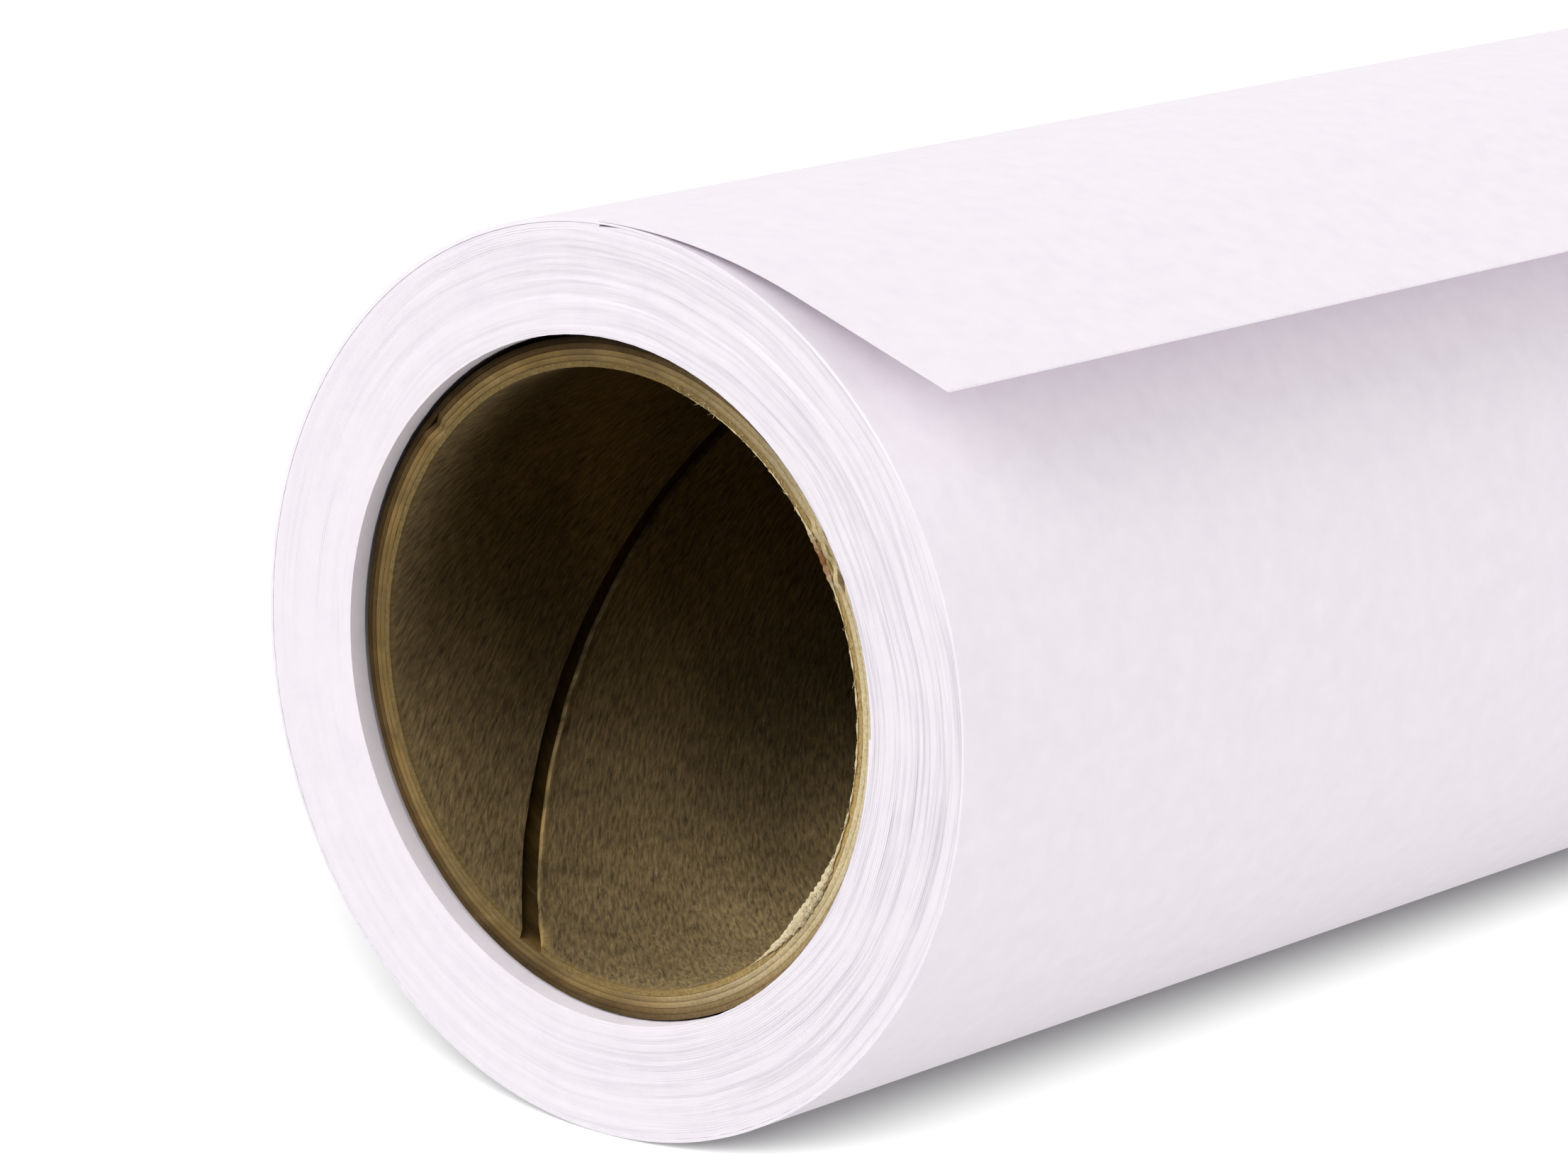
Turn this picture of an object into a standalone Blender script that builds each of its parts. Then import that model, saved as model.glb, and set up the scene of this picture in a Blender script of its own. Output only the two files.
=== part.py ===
"""A backdrop paper roll: a wide sheet of paper wound on a spiral-wound cardboard core.

Metres, +Z up. The roll lies along X on the plane z = 0, with the origin under its middle.
The sheet comes over the top of the roll and its free end hangs off towards -Y.
Every radius of a round piece is measured to the middle of its flats.
"""

import math

import bmesh
import bpy

# Driving dimensions
SHEET_WIDTH = 1.35
SHEET_THICKNESS = 0.0002
ROLL_RADIUS = 0.0424
PACK_HOLE_RADIUS = 0.0316
CORE_BORE_RADIUS = 0.0286
PLY_THICKNESS = 0.0004
PLY_GAP = 0.00015
BODY_PLIES = 3
CORE_RECESS = 0.0022

# The strip of board that lines the bore is wound on a helix, with an open joint between its turns.
LINER_PITCH = 0.162
LINER_JOINT = 0.0024
LINER_JOINT_PLACE = 0.0305

# The tape that holds the first edge of the sheet to the core
TAPE_THICKNESS = 0.00012
TAPE_ARC = math.radians(48)

# The free end of the sheet: it leaves the top of the roll on an easy bend, then runs straight.
FREE_GAP = 0.00012
FREE_BEND_RADIUS = 0.068
FREE_DROP = math.radians(20)
FREE_STRAIGHT = 0.0181
WRAPPED_LENGTH = 0.009
BEND_LINES = (0.008, 0.019, 0.030)
EDGE_LINE = 0.0365
STRIP_GAP = 0.0003
STRIP_STEP = 0.0028

# Round pieces have flats all at the same angles, one of them underneath.
FLATS = 30
FLAT_ANGLE = 2 * math.pi / FLATS
CORNER_FACTOR = 1 / math.cos(FLAT_ANGLE / 2)

CORE_LENGTH = SHEET_WIDTH - 2 * CORE_RECESS
CORE_RADIUS = CORE_BORE_RADIUS + (BODY_PLIES + 2) * PLY_THICKNESS + (BODY_PLIES + 1) * PLY_GAP
AXIS_HEIGHT = ROLL_RADIUS
FREE_RADIUS = ROLL_RADIUS * CORNER_FACTOR + FREE_GAP + SHEET_THICKNESS / 2


def clear_scene():
    for old in list(bpy.data.objects):
        bpy.data.objects.remove(old, do_unlink=True)


def new_collection(name):
    collection = bpy.data.collections.new(name)
    bpy.context.scene.collection.children.link(collection)
    return collection


def new_material(name, colour, roughness):
    material = bpy.data.materials.new(name)
    material.use_nodes = True
    shader = material.node_tree.nodes["Principled BSDF"]
    shader.inputs["Base Color"].default_value = (*colour, 1)
    shader.inputs["Roughness"].default_value = roughness
    shader.inputs["Metallic"].default_value = 0
    return material


def new_pivot(name, collection, place, parent=None):
    """An empty at a place in the world; whatever moves about that place is its child."""
    pivot = bpy.data.objects.new(name, None)
    pivot.empty_display_size = 0.02
    pivot.location = place
    if parent is not None:
        pivot.parent = parent
        pivot.location = [a - b for a, b in zip(place, parent["place"])]
    pivot["place"] = place
    collection.objects.link(pivot)
    return pivot


def new_piece(name, mesh, material, collection, parent):
    piece = bpy.data.objects.new(name, mesh)
    piece.data.materials.append(material)
    piece.parent = parent
    collection.objects.link(piece)
    return piece


def section_face(shape, length, inner, outer):
    """The rectangle that a round piece is turned from, half a flat away from straight up."""
    corners = [(-length / 2, inner), (length / 2, inner), (length / 2, outer), (-length / 2, outer)]
    points = []
    for along, radius in corners:
        reach = radius * CORNER_FACTOR
        across = reach * math.sin(FLAT_ANGLE / 2)
        points.append(shape.verts.new((along, across, reach * math.cos(FLAT_ANGLE / 2))))
    return shape.faces.new(points)


def mesh_of(shape, name):
    bmesh.ops.recalc_face_normals(shape, faces=shape.faces[:])
    mesh = bpy.data.meshes.new(name)
    shape.to_mesh(mesh)
    shape.free()
    mesh.shade_smooth()
    mesh.set_sharp_from_angle(angle=math.radians(30))
    return mesh


def tube_mesh(name, length, inner, outer):
    """A straight tube about X, turned from its rectangular section."""
    shape = bmesh.new()
    face = section_face(shape, length, inner, outer)
    ring = face.edges[:]
    shape.faces.remove(face)
    bmesh.ops.spin(
        shape, geom=ring, cent=(0, 0, 0), axis=(1, 0, 0), angle=2 * math.pi, steps=FLATS, use_merge=True
    )
    bmesh.ops.remove_doubles(shape, verts=shape.verts[:], dist=1e-6)
    return mesh_of(shape, name)


def part_tube_mesh(name, length, inner, outer, flats):
    """A few flats of a tube, with square sides."""
    shape = bmesh.new()
    face = section_face(shape, length, inner, outer)
    bmesh.ops.spin(
        shape,
        geom=face.verts[:] + face.edges[:] + [face],
        cent=(0, 0, 0),
        axis=(1, 0, 0),
        angle=-flats * FLAT_ANGLE,
        steps=flats,
    )
    return mesh_of(shape, name)


def helix_strip_mesh(name, length, inner, outer, pitch, joint, joint_place):
    """A strip wound on a helix, a little longer than `length` at both ends.

    The open joint between its turns crosses the +Y side of the tube at `joint_place` from the -X end.
    """
    turns = math.ceil(length / pitch) + 2
    shape = bmesh.new()
    face = section_face(shape, pitch - joint, inner, outer)
    section_angle = math.pi / 2 - FLAT_ANGLE / 2
    joint_at_section = -length / 2 + joint_place + pitch * section_angle / (2 * math.pi)
    strip_middle = joint_at_section + pitch / 2 - 2 * pitch
    bmesh.ops.translate(shape, verts=face.verts[:], vec=(strip_middle, 0, 0))
    bmesh.ops.spin(
        shape,
        geom=face.verts[:] + face.edges[:] + [face],
        cent=(0, 0, 0),
        axis=(1, 0, 0),
        dvec=(pitch / FLATS, 0, 0),
        angle=2 * math.pi * turns,
        steps=FLATS * turns,
    )
    return mesh_of(shape, name)


def free_sheet_place(along):
    """(y, z) of the middle of the sheet, this far along it from the top of the roll."""
    bend = FREE_BEND_RADIUS * FREE_DROP
    if along < 0:
        turned = along / FREE_RADIUS
        return -FREE_RADIUS * math.sin(turned), AXIS_HEIGHT + FREE_RADIUS * math.cos(turned)
    turned = min(along, bend) / FREE_BEND_RADIUS
    straight = max(along - bend, 0)
    y = -FREE_BEND_RADIUS * math.sin(turned) - straight * math.cos(FREE_DROP)
    fall = FREE_BEND_RADIUS * (1 - math.cos(turned)) + straight * math.sin(FREE_DROP)
    return y, AXIS_HEIGHT + FREE_RADIUS - fall


def strip_mesh(name, start, end, pivot):
    """The sheet's surface from `start` to `end` along it, over its whole width, in its pivot's frame."""
    steps = max(1, round((end - start) / STRIP_STEP))
    _, pivot_y, pivot_z = pivot["place"]
    shape = bmesh.new()
    y, z = free_sheet_place(start)
    ends = [shape.verts.new((side * SHEET_WIDTH / 2, y - pivot_y, z - pivot_z)) for side in (-1, 1)]
    edge = shape.edges.new(ends)
    for step in range(1, steps + 1):
        next_y, next_z = free_sheet_place(start + (end - start) * step / steps)
        grown = bmesh.ops.extrude_edge_only(shape, edges=[edge])["geom"]
        verts = [item for item in grown if isinstance(item, bmesh.types.BMVert)]
        edge = next(e for e in grown if isinstance(e, bmesh.types.BMEdge) and set(e.verts) == set(verts))
        bmesh.ops.translate(shape, verts=verts, vec=(0, next_y - y, next_z - z))
        y, z = next_y, next_z
    return mesh_of(shape, name)


def thicken(piece, thickness):
    solidify = piece.modifiers.new("Thickness", "SOLIDIFY")
    solidify.thickness = thickness
    solidify.offset = 0
    solidify.use_even_offset = True


def trim_to_length(piece, length, cutters):
    """Cuts the piece square at both ends with a box of the tube's length."""
    cutter_shape = bmesh.new()
    bmesh.ops.create_cube(cutter_shape, size=1)
    wide = 4 * ROLL_RADIUS
    bmesh.ops.scale(cutter_shape, vec=(length, wide, wide), verts=cutter_shape.verts[:])
    cutter = bpy.data.objects.new(piece.name + "_trim", mesh_of(cutter_shape, piece.name + "_trim"))
    cutter.parent = piece.parent
    cutter.hide_render = True
    cutter.display_type = "WIRE"
    cutters.objects.link(cutter)
    trim = piece.modifiers.new("Trim ends", "BOOLEAN")
    trim.operation = "INTERSECT"
    trim.object = cutter


def build_core(board, lining, parts, cutters, roll_axis):
    """The cardboard tube: a lining strip, plain body plies and an outer ply."""
    radius = CORE_BORE_RADIUS
    liner = helix_strip_mesh(
        "core_liner_ply",
        CORE_LENGTH,
        radius,
        radius + PLY_THICKNESS,
        LINER_PITCH,
        LINER_JOINT,
        LINER_JOINT_PLACE,
    )
    liner_piece = new_piece("core_liner_ply", liner, lining, parts, roll_axis)
    trim_to_length(liner_piece, CORE_LENGTH, cutters)
    names = [f"core_body_ply_{number + 1}" for number in range(BODY_PLIES)] + ["core_outer_ply"]
    for name in names:
        radius += PLY_THICKNESS + PLY_GAP
        ply = tube_mesh(name, CORE_LENGTH, radius, radius + PLY_THICKNESS)
        new_piece(name, ply, board, parts, roll_axis)


def build_pack(paper, tape, parts, roll_axis):
    """The turns of paper, and the tape between the core and the sheet's first edge."""
    pack = tube_mesh("wound_paper", SHEET_WIDTH, PACK_HOLE_RADIUS, ROLL_RADIUS)
    new_piece("wound_paper", pack, paper, parts, roll_axis)
    inner = (CORE_RADIUS + PACK_HOLE_RADIUS - TAPE_THICKNESS) / 2
    flats = round(TAPE_ARC / FLAT_ANGLE)
    tape_mesh = part_tube_mesh("start_tape", CORE_LENGTH, inner, inner + TAPE_THICKNESS, flats)
    new_piece("start_tape", tape_mesh, tape, parts, roll_axis)


def build_free_end(paper, parts, roll_axis):
    """The free end of the sheet, in strips that bend at hinge lines, and its leading edge on a slide."""
    draw_off = new_pivot("draw_off_pivot", parts, tuple(roll_axis["place"]), roll_axis)
    pivots = [draw_off]
    for number, along in enumerate(BEND_LINES, 1):
        y, z = free_sheet_place(along)
        pivots.append(new_pivot(f"bend_{number}_pivot", parts, (0, y, z), pivots[-1]))
    starts = [-WRAPPED_LENGTH, *BEND_LINES]
    ends = [*BEND_LINES, EDGE_LINE]
    names = ["sheet_root", "free_sheet_1", "free_sheet_2", "free_sheet_3"]
    for name, start, end, pivot in zip(names, starts, ends, pivots):
        mesh = strip_mesh(name, start + STRIP_GAP / 2, end - STRIP_GAP / 2, pivot)
        thicken(new_piece(name, mesh, paper, parts, pivot), SHEET_THICKNESS)
    y, z = free_sheet_place(EDGE_LINE)
    slide = new_pivot("pay_out_slide", parts, (0, y, z), pivots[-1])
    sheet_end = FREE_BEND_RADIUS * FREE_DROP + FREE_STRAIGHT
    mesh = strip_mesh("leading_edge", EDGE_LINE + STRIP_GAP / 2, sheet_end, slide)
    thicken(new_piece("leading_edge", mesh, paper, parts, slide), SHEET_THICKNESS)


clear_scene()
parts = new_collection("backdrop_paper_roll")
cutters = new_collection("cutters")
board = new_material("core_board", (0.36, 0.25, 0.13), 0.9)
lining = new_material("core_lining_board", (0.13, 0.095, 0.055), 0.85)
paper = new_material("backdrop_paper", (0.86, 0.83, 0.86), 0.88)
tape = new_material("masking_tape", (0.72, 0.62, 0.42), 0.6)
roll_axis = new_pivot("roll_axis", parts, (0, 0, AXIS_HEIGHT))
build_core(board, lining, parts, cutters, roll_axis)
build_pack(paper, tape, parts, roll_axis)
build_free_end(paper, parts, roll_axis)
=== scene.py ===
"""Backdrop paper roll: white paper wound on a cardboard core, with its free end lifting off the top."""

import math
import random

import bmesh
import bpy
from mathutils import Matrix, Vector, noise
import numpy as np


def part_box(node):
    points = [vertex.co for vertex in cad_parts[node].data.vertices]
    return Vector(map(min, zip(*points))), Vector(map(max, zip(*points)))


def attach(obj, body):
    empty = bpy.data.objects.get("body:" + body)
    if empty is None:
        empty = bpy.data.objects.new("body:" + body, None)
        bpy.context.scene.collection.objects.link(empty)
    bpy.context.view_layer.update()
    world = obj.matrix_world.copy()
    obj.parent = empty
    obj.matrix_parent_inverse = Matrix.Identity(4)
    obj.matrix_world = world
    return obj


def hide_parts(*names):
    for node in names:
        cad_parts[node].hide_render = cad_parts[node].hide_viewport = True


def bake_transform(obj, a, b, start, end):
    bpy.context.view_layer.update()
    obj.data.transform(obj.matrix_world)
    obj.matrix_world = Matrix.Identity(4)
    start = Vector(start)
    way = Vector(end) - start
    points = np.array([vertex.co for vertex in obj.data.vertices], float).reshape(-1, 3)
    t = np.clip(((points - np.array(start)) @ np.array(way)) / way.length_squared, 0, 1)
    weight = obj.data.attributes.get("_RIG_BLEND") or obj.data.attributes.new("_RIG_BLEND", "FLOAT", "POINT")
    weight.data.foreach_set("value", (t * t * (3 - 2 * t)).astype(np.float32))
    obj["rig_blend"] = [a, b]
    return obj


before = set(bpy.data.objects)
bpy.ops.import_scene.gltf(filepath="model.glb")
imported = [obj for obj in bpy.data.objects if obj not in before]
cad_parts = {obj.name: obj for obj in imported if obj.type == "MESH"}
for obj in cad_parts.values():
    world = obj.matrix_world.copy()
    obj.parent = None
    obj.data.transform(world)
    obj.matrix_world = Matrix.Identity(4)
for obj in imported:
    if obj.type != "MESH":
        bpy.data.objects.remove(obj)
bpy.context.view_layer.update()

# ---------------------------------------------------------------------------------------------
# Lining of the core
# A strip of dark recycled board, wound on a helix on the mandrel before the other plies. Its turns don't
# quite meet, so an open joint runs round the bore, and the slitter left a pale burr on it. Its pale fibres
# are drawn only on the bore's lower side, as painted light.

core_low, core_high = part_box("core_outer_ply")
AXIS_HEIGHT = (core_low.z + core_high.z) / 2
AXIS = Vector((0, 0, AXIS_HEIGHT))
CORE_NEAR, CORE_FAR = core_low.x, core_high.x

BORE_RADIUS = 0.0286
LINING_OUTSIDE = 0.02914
LINING_PITCH = 0.162
LINING_JOINT = 0.0024
JOINT_FROM_CORE_END = 0.0305
LINING_STEPS = 120
CUT_DEPTH = 0.0005  # how far the saw's bare, fluffed fibres go in from the core's ends
CUT_FADE = 4 * CUT_DEPTH  # how far in the last trace of the cut ends
CUT_FACE = 0.6 * CUT_DEPTH  # what is nearer to the core's end than this is on the cut itself
FLUFF = 0.0003  # how far the fibres stand out of the cut
BOARD_DARKENING = 0.62  # how much darker the board's faces are made, and the lining's cut except low on its -Y side
LINING_SLANT = 1.34  # length of the strip for each unit of length round the bore
SLIT_REACH = 0.0008  # how far in from the open joint the strip's slit edge is ragged
SLIT_BARE = 0.0007  # how far in its fibres are bare
SLIT_WAVER, SLIT_FRAY = 0.00020, 0.00012
SEEDS_APART = 7.3


def angle_round_axis(place):
    """From the +Y side towards the top, in radians."""
    return math.atan2(place.z - AXIS_HEIGHT, place.y)


def at_angle(along, radius, angle):
    return Vector((along, radius * math.cos(angle), AXIS_HEIGHT + radius * math.sin(angle)))


def noise_round(offset, angle, fineness):
    """Smooth noise from -1 to 1 that joins up with itself all the way round the axis."""
    return noise.noise(Vector((offset, fineness * math.cos(angle), fineness * math.sin(angle))))


def unevenness(seed, angle, fineness):
    """The same noise, a different one for each seed."""
    return noise_round(seed * SEEDS_APART + 1, angle, fineness)


def shaded_mesh(name, shape, sharp_above=35):
    """The finished shape as a mesh: outward faces, smooth but for its sharp edges."""
    bmesh.ops.recalc_face_normals(shape, faces=shape.faces[:])
    for face in shape.faces:
        face.smooth = True
    for edge in shape.edges:
        edge.smooth = len(edge.link_faces) == 2 and edge.calc_face_angle(0) < math.radians(sharp_above)
    mesh = bpy.data.meshes.new(name)
    shape.to_mesh(mesh)
    shape.free()
    return mesh


def new_piece(name, mesh, material, slot, *stands_for):
    """The piece's object, at the origin, with its finish; the CAD nodes that it stands for are hidden."""
    piece = bpy.data.objects.new(name, mesh)
    bpy.context.scene.collection.objects.link(piece)
    mesh.materials.append(material)
    if stands_for:
        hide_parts(*stands_for)
    return piece


def lay_out(nodes, groups=()):
    """Puts each node in its group's frame, and all of them in columns of four."""
    for group, members in groups:
        for node in members:
            node.parent = group
    for number, node in enumerate(n for n in nodes if n.type != "FRAME"):
        node.location = (240 * (number // 4), -300 * (number % 4))


def core_board(name, dark, light, cut_dark, cut_light, streaks, fleck):
    """Laminated core board: streaky fibres on its faces, bare layered fibres where it is cut, and darkening.

    The mesh says where: bare_edge and darkening are shares from 0 to 1, and strip_place is how far across
    and along the strip each point is.
    """
    material = bpy.data.materials.new(name)
    material.use_nodes = True
    nodes, links = material.node_tree.nodes, material.node_tree.links
    nodes.clear()

    way = nodes.new("NodeFrame")
    way.label = "Way round the core"
    place = nodes.new("ShaderNodeTexCoord")
    place.label = "Place on the piece"
    centred = nodes.new("ShaderNodeMapping")
    centred.label = "Measured from the core's axis"
    centred.inputs["Location"].default_value = (0, 0, -AXIS_HEIGHT)
    section = nodes.new("ShaderNodeVectorMath")
    section.label = "Across the axis"
    section.operation = "MULTIPLY"
    section.inputs[1].default_value = (0, 1, 1)
    outward = nodes.new("ShaderNodeVectorMath")
    outward.label = "Direction from the axis"
    outward.operation = "NORMALIZE"
    radius = nodes.new("ShaderNodeVectorMath")
    radius.label = "Distance from the axis"
    radius.operation = "LENGTH"
    links.new(place.outputs["Object"], centred.inputs["Vector"])
    links.new(centred.outputs["Vector"], section.inputs[0])
    links.new(section.outputs["Vector"], outward.inputs[0])
    links.new(section.outputs["Vector"], radius.inputs[0])

    face = nodes.new("NodeFrame")
    face.label = "Fibres drawn out along the strip"
    strip = nodes.new("ShaderNodeAttribute")
    strip.label = "Across and along the strip"
    strip.attribute_name = "strip_place"
    streak_place = nodes.new("ShaderNodeMapping")
    streak_place.label = "Fine across, coarse along"
    streak_place.inputs["Scale"].default_value = (streaks, 0.26 * streaks, 1)
    streak = nodes.new("ShaderNodeTexNoise")
    streak.label = "Fibre streaks"
    streak.inputs["Scale"].default_value = 1.0
    streak.inputs["Detail"].default_value = 4.0
    streak.inputs["Roughness"].default_value = 0.62
    streak.inputs["Distortion"].default_value = 0.25
    tone = nodes.new("ShaderNodeValToRGB")
    tone.label = "Board from dark to light"
    tone.color_ramp.elements[0].position = 0.24
    tone.color_ramp.elements[0].color = (*dark, 1)
    tone.color_ramp.elements[1].position = 0.78
    tone.color_ramp.elements[1].color = (*light, 1)
    cloud = nodes.new("ShaderNodeTexNoise")
    cloud.label = "Damp marks and glue stain"
    cloud.inputs["Scale"].default_value = 62.0
    cloud.inputs["Detail"].default_value = 3.0
    stain = nodes.new("ShaderNodeMapRange")
    stain.label = "How much the stain darkens"
    stain.inputs["From Min"].default_value = 0.35
    stain.inputs["From Max"].default_value = 0.70
    stain.inputs["To Min"].default_value = 0.66
    stain.inputs["To Max"].default_value = 1.18
    stained = nodes.new("ShaderNodeVectorMath")
    stained.label = "Stained board"
    stained.operation = "SCALE"
    links.new(strip.outputs["Vector"], streak_place.inputs["Vector"])
    links.new(streak_place.outputs["Vector"], streak.inputs["Vector"])
    links.new(streak.outputs["Fac"], tone.inputs["Fac"])
    links.new(place.outputs["Object"], cloud.inputs["Vector"])
    links.new(cloud.outputs["Fac"], stain.inputs["Value"])
    links.new(tone.outputs["Color"], stained.inputs[0])
    links.new(stain.outputs["Result"], stained.inputs["Scale"])

    flecks = nodes.new("NodeFrame")
    flecks.label = "Pale flecks of recycled fibre"
    fleck_noise = nodes.new("ShaderNodeTexNoise")
    fleck_noise.label = "Where the flecks are"
    fleck_noise.inputs["Scale"].default_value = 1.7
    fleck_noise.inputs["Detail"].default_value = 2.0
    fleck_size = nodes.new("ShaderNodeMapRange")
    fleck_size.label = "Only the strongest show"
    fleck_size.inputs["From Min"].default_value = 0.62
    fleck_size.inputs["From Max"].default_value = 0.74
    fleck_size.inputs["To Max"].default_value = fleck
    flecked = nodes.new("ShaderNodeMix")
    flecked.label = "Flecked board"
    flecked.data_type = "RGBA"
    flecked.inputs["B"].default_value = (*cut_light, 1)
    links.new(streak_place.outputs["Vector"], fleck_noise.inputs["Vector"])
    links.new(fleck_noise.outputs["Fac"], fleck_size.inputs["Value"])
    links.new(fleck_size.outputs["Result"], flecked.inputs["Factor"])
    links.new(stained.outputs["Vector"], flecked.inputs["A"])

    cut = nodes.new("NodeFrame")
    cut.label = "Bare fibres where the board is cut"
    layer_place = nodes.new("ShaderNodeCombineXYZ")
    layer_place.label = "Layers follow the radius"
    layer_scale = nodes.new("ShaderNodeMath")
    layer_scale.label = "Layers in the board"
    layer_scale.operation = "MULTIPLY"
    layer_scale.inputs[1].default_value = 4200.0
    layer_way = nodes.new("ShaderNodeVectorMath")
    layer_way.label = "Long round the core"
    layer_way.operation = "MULTIPLY_ADD"
    layer_way.inputs[1].default_value = (0, 80, 80)
    layer = nodes.new("ShaderNodeTexNoise")
    layer.label = "Torn layers"
    layer.inputs["Scale"].default_value = 1.0
    layer.inputs["Detail"].default_value = 5.0
    layer.inputs["Roughness"].default_value = 0.66
    cut_tone = nodes.new("ShaderNodeValToRGB")
    cut_tone.label = "Cut fibre from dark to light"
    cut_tone.color_ramp.elements[0].position = 0.27
    cut_tone.color_ramp.elements[0].color = (*cut_dark, 1)
    cut_tone.color_ramp.elements[1].position = 0.73
    cut_tone.color_ramp.elements[1].color = (*cut_light, 1)
    bare = nodes.new("ShaderNodeAttribute")
    bare.label = "Bare where the saw went"
    bare.attribute_name = "bare_edge"
    board = nodes.new("ShaderNodeMix")
    board.label = "Board and its cut"
    board.data_type = "RGBA"
    darkening = nodes.new("ShaderNodeAttribute")
    darkening.label = "Darkening from the mesh"
    darkening.attribute_name = "darkening"
    undarkened = nodes.new("ShaderNodeMath")
    undarkened.label = "What the darkening leaves"
    undarkened.operation = "SUBTRACT"
    undarkened.inputs[0].default_value = 1.0
    darkened_board = nodes.new("ShaderNodeVectorMath")
    darkened_board.label = "Darkened board"
    darkened_board.operation = "SCALE"
    links.new(darkening.outputs["Fac"], undarkened.inputs[1])
    links.new(undarkened.outputs["Value"], darkened_board.inputs["Scale"])
    links.new(board.outputs["Result"], darkened_board.inputs[0])
    links.new(radius.outputs["Value"], layer_scale.inputs[0])
    links.new(layer_scale.outputs["Value"], layer_place.inputs["X"])
    links.new(outward.outputs["Vector"], layer_way.inputs[0])
    links.new(layer_place.outputs["Vector"], layer_way.inputs[2])
    links.new(layer_way.outputs["Vector"], layer.inputs["Vector"])
    links.new(layer.outputs["Fac"], cut_tone.inputs["Fac"])
    links.new(bare.outputs["Fac"], board.inputs["Factor"])
    links.new(flecked.outputs["Result"], board.inputs["A"])
    links.new(cut_tone.outputs["Color"], board.inputs["B"])

    finish = nodes.new("NodeFrame")
    finish.label = "Rough board surface"
    ridge = nodes.new("ShaderNodeMix")
    ridge.label = "Height of face and cut"
    ridge.data_type = "FLOAT"
    bump = nodes.new("ShaderNodeBump")
    bump.label = "Raised fibres"
    bump.inputs["Strength"].default_value = 0.55
    bump.inputs["Distance"].default_value = 0.00012
    sheen = nodes.new("ShaderNodeMapRange")
    sheen.label = "Burnished and dull fibres"
    sheen.inputs["To Min"].default_value = 0.62
    sheen.inputs["To Max"].default_value = 0.92
    surface = nodes.new("ShaderNodeBsdfPrincipled")
    surface.label = "Raw board"
    surface.inputs["Specular IOR Level"].default_value = 0.08
    output = nodes.new("ShaderNodeOutputMaterial")
    output.label = "Core board"
    links.new(bare.outputs["Fac"], ridge.inputs["Factor"])
    links.new(streak.outputs["Fac"], ridge.inputs["A"])
    links.new(layer.outputs["Fac"], ridge.inputs["B"])
    links.new(ridge.outputs["Result"], bump.inputs["Height"])
    links.new(streak.outputs["Fac"], sheen.inputs["Value"])
    links.new(darkened_board.outputs["Vector"], surface.inputs["Base Color"])
    links.new(sheen.outputs["Result"], surface.inputs["Roughness"])
    links.new(bump.outputs["Normal"], surface.inputs["Normal"])
    links.new(surface.outputs["BSDF"], output.inputs["Surface"])

    lay_out(
        nodes,
        (
            (way, (place, centred, section, outward, radius)),
            (face, (strip, streak_place, streak, tone, cloud, stain, stained)),
            (flecks, (fleck_noise, fleck_size, flecked)),
            (
                cut,
                (layer_scale, layer_place, layer_way, layer, cut_tone)
                + (bare, board, darkening, undarkened, darkened_board),
            ),
            (finish, (ridge, bump, sheen, surface, output)),
        ),
    )
    return material


lining_board = core_board(
    "core lining board",
    dark=(0.060, 0.044, 0.026),
    light=(0.450, 0.322, 0.148),
    cut_dark=(0.28, 0.172, 0.050),
    cut_light=(0.58, 0.415, 0.175),
    streaks=2100.0,
    fleck=0.35,
)


def joint_middle(angle):
    """Where the open joint crosses the core at this angle, on its first turn."""
    return CORE_NEAR + JOINT_FROM_CORE_END + LINING_PITCH * angle / math.tau


STEP_MARK = 0.001  # sets the corners and steps of a spun turn apart, so that each one can be told


def wind(corners, steps_a_turn, first_step, last_step, place):
    """A closed section of so many corners, wound round the axis as one strip with both ends closed.

    One turn is spun with each step set apart along the axis by STEP_MARK, and copied once for each turn.
    place(corner, step) then says where that corner of the section lies at that step of the winding.
    """
    turn = bmesh.new()
    ring = [turn.verts.new((0, 0, AXIS_HEIGHT + BORE_RADIUS + STEP_MARK * k)) for k in range(corners)]
    outline = [turn.edges.new((ring[k - 1], ring[k])) for k in range(corners)]
    bmesh.ops.spin(
        turn,
        geom=outline,
        cent=AXIS,
        axis=(1, 0, 0),
        dvec=(STEP_MARK, 0, 0),
        angle=math.tau,
        steps=steps_a_turn,
    )
    strip = bmesh.new()
    for turn_start in range(first_step, last_step, steps_a_turn):
        copied = turn.copy()
        beyond = []
        for vert in copied.verts:
            corner = round(((vert.co - AXIS).yz.length - BORE_RADIUS) / STEP_MARK)
            step = turn_start + round(vert.co.x / STEP_MARK)
            vert.co = place(corner, step)
            if step > last_step:
                beyond.append(vert)
        bmesh.ops.delete(copied, geom=beyond, context="VERTS")
        wound_turn = bpy.data.meshes.new("turn")
        copied.to_mesh(wound_turn)
        copied.free()
        strip.from_mesh(wound_turn)
        bpy.data.meshes.remove(wound_turn)
    turn.free()
    bmesh.ops.remove_doubles(strip, verts=strip.verts[:], dist=1e-7)
    ends = [edge for edge in strip.edges if edge.is_boundary]
    bmesh.ops.holes_fill(strip, edges=ends, sides=corners)
    return strip


def bell(angle, middle, width):
    """1 at the middle angle, falling smoothly to 0 at `width` radians from it."""
    apart = abs((angle - middle + math.pi) % math.tau - math.pi)
    return 0.5 + 0.5 * math.cos(math.pi * apart / width) if apart < width else 0.0


def fluffed(angle):
    """How much of the sawn edge is pale, fluffed fibre: most on the side where the saw came out."""
    return 0.08 + 0.06 * unevenness(8, angle, 11) + 0.88 * bell(angle, math.radians(186), math.radians(100))


half_joint = LINING_JOINT / 2
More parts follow.
